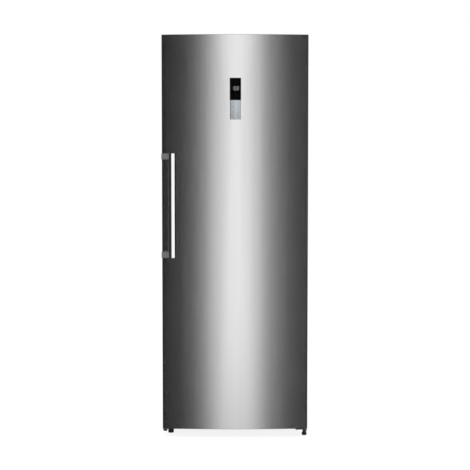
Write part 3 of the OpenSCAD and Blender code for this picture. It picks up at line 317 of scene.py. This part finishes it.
# Depths count back from the front of the figures. Left of barEnd there is only the faint short bar.
boardLook = {"middle": 0.0018, "front": -0.3142, "figureDepth": 0.0004, "backFrom": (0.0030, 0.0034),
             "barEnd": (-0.009, -0.008), "faint": 0.3, "glow": (0.87, 0.91, 0.95), "strength": 2.2,
             "sheet": (0.0005, 0.0005, 0.0005), "greens": ((0.02, 0.10, 0.05), (0.03, 0.14, 0.08)),
             "fibres": 500, "rough": (0.4, 0.5), "specular": 0.1}


def boardMaterial():
    # The figures in front glow, the sheet around them is black and the board behind is green
    look = boardLook
    s = Shader("displayBoard")
    across, depth, _ = s.axes()
    behind = depth - look["front"]
    lit = s.ramp(behind, 0.0, look["figureDepth"], 1.0, 0.0, False) \
        * s.ramp(across - look["middle"], *look["barEnd"], look["faint"], 1.0)
    board = s.ramp(behind, *look["backFrom"], 0.0, 1.0, False)
    fibres = s.noise(look["fibres"], detail=1)
    return s.finish(baseColor=s.mix(board, look["sheet"], s.tint(fibres, look["greens"])),
                    roughness=s.spread(fibres, *look["rough"]), specular=look["specular"],
                    glow=s.mix(lit, (0, 0, 0), look["glow"]), glowStrength=look["strength"])


# Each row of tones goes from one place across to another, counted from the display's middle, and there
# from one share of the silver to another; the shares of the rows are added.
# The rows are painted shade and a painted reflection.
keyLook = {"silvers": ((0.68, 0.73, 0.775), (0.79, 0.84, 0.885)), "metallic": 0.35, "rough": (0.34, 0.42),
           "grain": 500, "grainStretch": (0.1, 1, 1), "bump": 0.05, "bumpDepth": 0.0002,
           "tones": [(-0.0232, -0.0186, 0.28, 0.78), (-0.0190, 0.004, 0.0, 0.22),
                     (0.006, 0.0215, 0.0, -0.12), (0.0195, 0.0236, 0.0, -0.24)],
           "footShade": 0.84, "footShare": 0.6}


def keyMaterial():
    # Silver foil, brushed across, with painted shade towards its edges and the lowest keys
    # and a painted reflection brightest right of the middle
    look = keyLook
    s = Shader("keySilver")
    fine = s.noise(look["grain"], look["grainStretch"])
    across, _, height = s.axes()
    across = across - boardLook["middle"]
    foot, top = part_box("key_4")[0][2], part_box("key_1")[1][2]
    full = foot + (top - foot) * look["footShare"]
    # Painted shadow at the left edge, painted reflection right of the middle, painted shade towards the foot
    share = sum(s.ramp(across, *row) for row in look["tones"]) \
        * s.ramp(height, foot, full, look["footShade"], 1.0, False)
    return s.finish(baseColor=s.mix(share, (0, 0, 0), s.tint(fine, look["silvers"])),
                    metallic=look["metallic"], roughness=s.spread(fine, *look["rough"]),
                    normal=s.bump(fine, look["bump"], look["bumpDepth"]))


# The change from bright to dark lies this far below the window
rimLook = {"bright": 0.86, "dark": 0.02, "change": (0.0010, 0.0006), "tones": (0.95, 1.03),
           "rough": (0.14, 0.28), "grain": 300, "bump": 0.05}


def rimMaterial():
    # Bright metal around the keys, blackened around the window
    look = rimLook
    s = Shader("displayRim")
    fine = s.noise(look["grain"], detail=3)
    height = s.axes()[2]
    low, high = (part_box("display_lens")[0][2] - below for below in look["change"])
    tone = s.ramp(height, low, high, look["bright"], look["dark"], False)
    return s.finish(baseColor=s.grey(tone * s.spread(fine, *look["tones"])), metallic=1.0,
                    roughness=s.spread(fine, *look["rough"], 0.25), normal=s.bump(fine, look["bump"]))


printLook = {"inks": ((0.16, 0.17, 0.19), (0.22, 0.23, 0.26)), "rough": (0.45, 0.6), "grain": 900,
             "width": 0.0009, "lift": 8e-5, "stack": 2e-6}


def printMaterial():
    # Screen print on the keys, a little uneven
    look = printLook
    s = Shader("keyPrint")
    ink = s.noise(look["grain"])
    return s.finish(baseColor=s.tint(ink, look["inks"]), roughness=s.spread(ink, *look["rough"]))


slotLooks = {
    "door_steel": brushedDoor(),
    "side_paint": paintedSteel("sidePaint", (0.46, 0.47, 0.48), 0.38, peel=0.35, metallic=0.35, grain=620),
    "back_steel": zincSheet(),
    "foam": foamMaterial(),
    "liner_white": mouldedPlastic("linerWhite", (0.88, 0.89, 0.89), 0.32, coat=0.2),
    "base_steel": paintedSteel("baseBlack", (0.045, 0.046, 0.05), 0.45),
    "rear_black": mouldedPlastic("rearDark", (0.07, 0.07, 0.075), 0.7, grain=300, peel=0.3),
    "rubber_black": mouldedPlastic("rubberBlack", (0.025, 0.025, 0.026), 0.75, grain=600, peel=0.2),
    "compressor_black": paintedSteel("compressorBlack", (0.018, 0.018, 0.02), 0.25, peel=0.2),
    "copper": bareMetal("copper", (0.80, 0.42, 0.26), 0.25),
    "tray_grey": mouldedPlastic("trayGrey", (0.50, 0.51, 0.52), 0.5),
    "hinge_steel": paintedSteel("hingeBlack", (0.022, 0.022, 0.024), 0.5, peel=0.2),
    "cover_grey": mouldedPlastic("coverDark", (0.075, 0.077, 0.082), 0.5),
    "coil_aluminium": bareMetal("coilAluminium", (0.80, 0.81, 0.82), 0.3),
    "motor_black": mouldedPlastic("motorBlack", (0.035, 0.035, 0.037), 0.5),
    "lamp_clear": mouldedPlastic("lampMilky", (0.92, 0.92, 0.88), 0.35),
    "shelf_glass": glassMaterial("shelfGlass", glassLook),
    "trim_white": mouldedPlastic("trimWhite", (0.86, 0.87, 0.87), 0.35),
    "rack_chrome": bareMetal("rackChrome", (0.82, 0.82, 0.83), 0.12, bump=0.01),
    "fan_white": mouldedPlastic("fanWhite", (0.82, 0.82, 0.80), 0.45),
    "foot_black": mouldedPlastic("footBlack", (0.022, 0.022, 0.024), 0.5),
    "drawer_clear": clearPlastic("drawerClear", (0.80, 0.88, 0.93), 0.15, 0.42),
    "gasket_grey": mouldedPlastic("gasketGrey", (0.36, 0.37, 0.38), 0.6, grain=500, peel=0.15),
    "bush_white": mouldedPlastic("bushWhite", (0.85, 0.85, 0.82), 0.4),
    "handle_bright": handleMetal(),
    "bracket_grey": paintedSteel("bracketGrey", (0.20, 0.20, 0.205), 0.45),
    "display_rim": rimMaterial(),
    "display_glass": glassMaterial("displayGlass", windowLook),
    "board_green": boardMaterial(),
    "key_silver": keyMaterial(),
    "bin_clear": clearPlastic("binClear", (0.86, 0.92, 0.94), 0.12, 0.38),
}

slotOf = {row["node"]: row["material_slot"] for row in frame["record"]["subparts"]}
for name, piece in nodes.items():
    piece.data.materials.clear()
    piece.data.materials.append(slotLooks[slotOf[name]])
print("finishes given to", len(slotOf), "nodes")

# Screw heads: rings are shares of the radius, closer together where the walls of the cross are
screwLook = {"radius": 0.0038, "height": 0.0016, "recess": 0.0011, "slotHalf": 0.0005, "slotReach": 0.0021,
             "rings": (0.02, 0.12, 0.22, 0.32, 0.42, 0.5, 0.56, 0.62, 0.75, 0.87, 0.95, 1.0), "sides": 48}
backScrews = {"x": 0.3215, "zFirst": 0.30, "zLast": 1.80, "count": 6, "face": 0.3525}
coverScrews = {"x": 0.3235, "z": (0.062, 0.213), "face": 0.3515}


def addMesh(name, points, faces, material, body):
    mesh = bpy.data.meshes.new(name)
    mesh.from_pydata(points.tolist(), [], faces.tolist())
    mesh.polygons.foreach_set("use_smooth", np.ones(len(faces), bool))
    mesh.materials.append(material)
    piece = bpy.data.objects.new(name, mesh)
    bpy.context.scene.collection.objects.link(piece)
    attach(piece, body)


def gridFaces(rows, columns):
    # Quads of a grid that closes on itself along its columns
    start, column = np.arange(rows - 1)[:, None] * columns, np.arange(columns)[None, :]
    first, beside = (start + column).ravel(), (start + (column + 1) % columns).ravel()
    return np.stack([first, beside, beside + columns, first + columns], 1)


def screwHeads(name, spots, material, body):
    # Pan heads that face +Y. At share r of the radius the height is that of a flattened dome,
    # height * (1 - r^4), and inside the cross it is lowered by the recess depth.
    look = screwLook
    angle = np.arange(look["sides"]) * math.tau / look["sides"]
    r, a = np.meshgrid(np.array(look["rings"]), angle, indexing="ij")
    x, z = look["radius"] * r * np.cos(a), look["radius"] * r * np.sin(a)
    near, far = np.minimum(np.abs(x), np.abs(z)), np.maximum(np.abs(x), np.abs(z))
    inside = (near < look["slotHalf"]) & (far < look["slotReach"])
    rise = look["height"] * (1 - r ** 4) - inside * look["recess"]
    head = np.stack([x, rise, z], 2).reshape(-1, 3)
    points = (np.array(spots)[:, None, :] + head[None]).reshape(-1, 3)
    quads = gridFaces(*r.shape)[:, ::-1]
    faces = (quads[None] + (np.arange(len(spots)) * len(head))[:, None, None]).reshape(-1, 4)
    addMesh(name, points, faces, material, body)


def strokes(name, lines, face, material, body):
    # Flat bars of one width along line segments (x, z) to (x, z), just in front of the face, each a hair
    # further out than the one before
    width = printLook["width"]
    ends = np.array(lines, float).reshape(-1, 2, 2)
    along = ends[:, 1] - ends[:, 0]
    along /= np.linalg.norm(along, axis=1, keepdims=True)
    across = np.stack([-along[:, 1], along[:, 0]], 1) * width / 2
    cap = along * width / 2
    flat = np.stack([ends[:, 0] - cap - across, ends[:, 1] + cap - across, ends[:, 1] + cap + across,
                     ends[:, 0] - cap + across], 1).reshape(-1, 2)
    lift = printLook["lift"] + np.repeat(np.arange(len(ends)) * printLook["stack"], 4)
    points = np.stack([flat[:, 0], face - lift, flat[:, 1]], 1)
    addMesh(name, points, np.arange(len(points)).reshape(-1, 4), material, body)


def arcLines(x, z, radius, begin, end, count):
    # Line segments along an arc, its ends in degrees
    angle = np.radians(np.linspace(begin, end, count + 1))
    points = np.stack([x + radius * np.cos(angle), z + radius * np.sin(angle)], 1)
    return np.stack([points[:-1], points[1:]], 1).reshape(-1, 4).tolist()


screwFinish = bareMetal("screwZinc", (0.58, 0.58, 0.60), 0.35)
heights = np.linspace(backScrews["zFirst"], backScrews["zLast"], backScrews["count"])
spots = [(side * backScrews["x"], backScrews["face"], z) for side in (-1, 1) for z in heights]
spots += [(side * coverScrews["x"], coverScrews["face"], z) for side in (-1, 1) for z in coverScrews["z"]]
screwHeads("back_screws", spots, screwFinish, "cabinet")

# Two marks per key, in mm from its middle: arrows, flake and levels, bell and bars, switch and lock
marks = {
    "key_1": [(-11, 2, -8.5, -2), (-8.5, -2, -6, 2), (9.5, -2, 12, 2), (12, 2, 14.5, -2)],
    "key_2": [(-11.5, 0, -5.5, 0), (-10, -2.6, -7, 2.6), (-10, 2.6, -7, -2.6),
              (9, 2, 15, 2), (9, 0, 13, 0), (9, -2, 11, -2)],
    "key_3": arcLines(-8.5, 0, 2.6, 0, 180, 8)
    + [(-11.1, 0, -11.8, -2.2), (-5.9, 0, -5.2, -2.2), (-11.8, -2.2, -5.2, -2.2),
       (10, -2.5, 10, 2.5), (12, -2.5, 12, 1), (14, -2.5, 14, -0.5)],
    "key_4": arcLines(-8.5, 0, 2.8, 125, 415, 14)
    + [(-8.5, 0.5, -8.5, 3.4), (9.5, -2, 9.5, 1), (9.5, 1, 14.5, 1), (14.5, 1, 14.5, -2),
       (14.5, -2, 9.5, -2), (12, 1, 12, 3)],
}
inkFinish = printMaterial()
for key, lines in marks.items():
    keyLow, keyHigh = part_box(key)
    middle = ((keyLow[0] + keyHigh[0]) / 2, (keyLow[2] + keyHigh[2]) / 2)
    placed = np.array(lines, float) / 1000 + np.array([*middle, *middle])
    strokes(key + "_print", placed, keyLow[1], inkFinish, key)
print("small pieces made")

# Lights that the door mirrors are given by azimuths in radians, from straight ahead to the right: where one
# begins, is full, is full no more and ends. Its tone is last. The tall ones are a bright strip, a dim band
# on its left, a wider one on its right and a faint glow around them. They narrow with height and fade at
# the foot. The panels stand to the sides and behind.
tallLook = {"shift": 0.0092, "taper": 0.4, "foot": (-0.456, -0.108)}
tallLights = [(-0.09, -0.045, 0.044, 0.088, 1.13),
              (-0.13, -0.095, -0.075, -0.035, 0.25),
              (0.03, 0.088, 0.13, 0.175, 0.13),
              (-0.23, -0.13, 0.13, 0.20, 0.06)]
roomLook = {"dim": 0.003, "ambient": 0.62}
panels = [(0.40, 0.48, 0.56, 0.90, 0.74), (0.40, 0.48, 1.6, 1.9, 0.38),
          (-1.15, -1.0, -0.62, -0.40, 0.45), (-2.3, -1.9, -1.15, -1.0, 0.28),
          (1.9, 2.3, 3.1, 3.2, 0.6), (-3.2, -3.1, -2.3, -1.9, 0.6)]

# Place, width and height in metres, and watts
lamps = {"lampTop": ((0.0, -1.5, 5.0), (4, 4), 45),
         "lampLeft": ((-4.0, -2.0, 2.5), (2.5, 3), 30),
         "lampRight": ((4.0, -2.0, 2.5), (2.5, 3), 30)}
lampAim = (0, 0, 0.9)
floorLook = {"half": 30, "paper": (0.9, 0.9, 0.9), "seenPaper": (0.25, 0.25, 0.25), "seenGlow": 0.87}
cameraLook = {"place": (0.0, -5.3025, 1.2), "down": 2.998, "lens": 83.6, "sensor": 36, "clip": (0.1, 200)}


def makeFloor():
    # A flat square sheet below the feet. Seen directly it is mostly white of its own, so that only a
    # faint shadow is left on it.
    look, half = floorLook, floorLook["half"]
    corners = [(-half, -half, 0), (half, -half, 0), (half, half, 0), (-half, half, 0)]
    mesh = bpy.data.meshes.new("floor")
    mesh.from_pydata(corners, [], [(0, 1, 2, 3)])
    piece = bpy.data.objects.new("floor", mesh)
    bpy.context.scene.collection.objects.link(piece)
    s = Shader("floorPaper")
    paper = s.node("ShaderNodeBsdfDiffuse", inputs={"Color": look["paper"]})
    seenPaper = s.node("ShaderNodeBsdfDiffuse", inputs={"Color": look["seenPaper"]})
    glow = s.node("ShaderNodeEmission", inputs={"Color": (1, 1, 1), "Strength": look["seenGlow"]})
    seen = s.node("ShaderNodeAddShader", inputs={0: seenPaper, 1: glow})
    factor = s.rays("Camera", "Glossy", "Transmission")
    s.end("ShaderNodeOutputMaterial", s.node("ShaderNodeMixShader", inputs={0: factor, 1: paper, 2: seen}))
    mesh.materials.append(s.material)
    piece.visible_glossy = False


def makeWorld():
    # White to the eye and through glass, an even grey light, and the lights above for the mirror image
    world = bpy.data.worlds.new("studio")
    bpy.context.scene.world = world
    world.use_nodes = True
    world.cycles.sampling_method = "NONE"  # its tone differs by kind of ray, which light sampling can't tell
    s = Shader("studio", world.node_tree)
    x, y, z = s.split(s.node("ShaderNodeTexCoord", out="Generated"))
    azimuth = x.math("ARCTAN2", y * -1)
    aside = (azimuth - tallLook["shift"]) / (1 - z * tallLook["taper"])
    tall = sum(s.between(aside, *span) * level for *span, level in tallLights)
    mirrored = tall * s.ramp(z, *tallLook["foot"]) + roomLook["dim"]
    mirrored = mirrored + sum(s.between(azimuth, *span) * level for *span, level in panels)
    gloss = s.rays("Glossy")
    unseen = gloss * mirrored + (1 - gloss) * roomLook["ambient"]
    eye = s.rays("Camera", "Transmission").math("MINIMUM", 1)
    tone = eye + (1 - eye) * unseen
    light = s.node("ShaderNodeBackground", inputs={"Color": (1, 1, 1), "Strength": tone})
    s.end("ShaderNodeOutputWorld", light)


def makeLamp(name, spot, size, watts):
    lamp = bpy.data.lights.new(name, "AREA")
    lamp.shape, lamp.size, lamp.size_y, lamp.energy = "RECTANGLE", *size, watts
    piece = bpy.data.objects.new(name, lamp)
    piece.location = spot
    piece.rotation_euler = (Vector(lampAim) - Vector(spot)).to_track_quat("-Z", "Y").to_euler()
    piece.visible_glossy = False
    bpy.context.scene.collection.objects.link(piece)


def makeCamera():
    look = cameraLook
    data = bpy.data.cameras.new("camera")
    data.lens, data.sensor_width = look["lens"], look["sensor"]
    data.clip_start, data.clip_end = look["clip"]
    piece = bpy.data.objects.new("camera", data)
    piece.location = look["place"]
    piece.rotation_euler = (math.radians(90 - look["down"]), 0, 0)
    bpy.context.scene.collection.objects.link(piece)
    bpy.context.scene.camera = piece


makeFloor()
makeWorld()
for name, settings in lamps.items():
    makeLamp(name, *settings)
makeCamera()
bpy.context.scene.view_settings.view_transform = "Standard"
print("studio made")
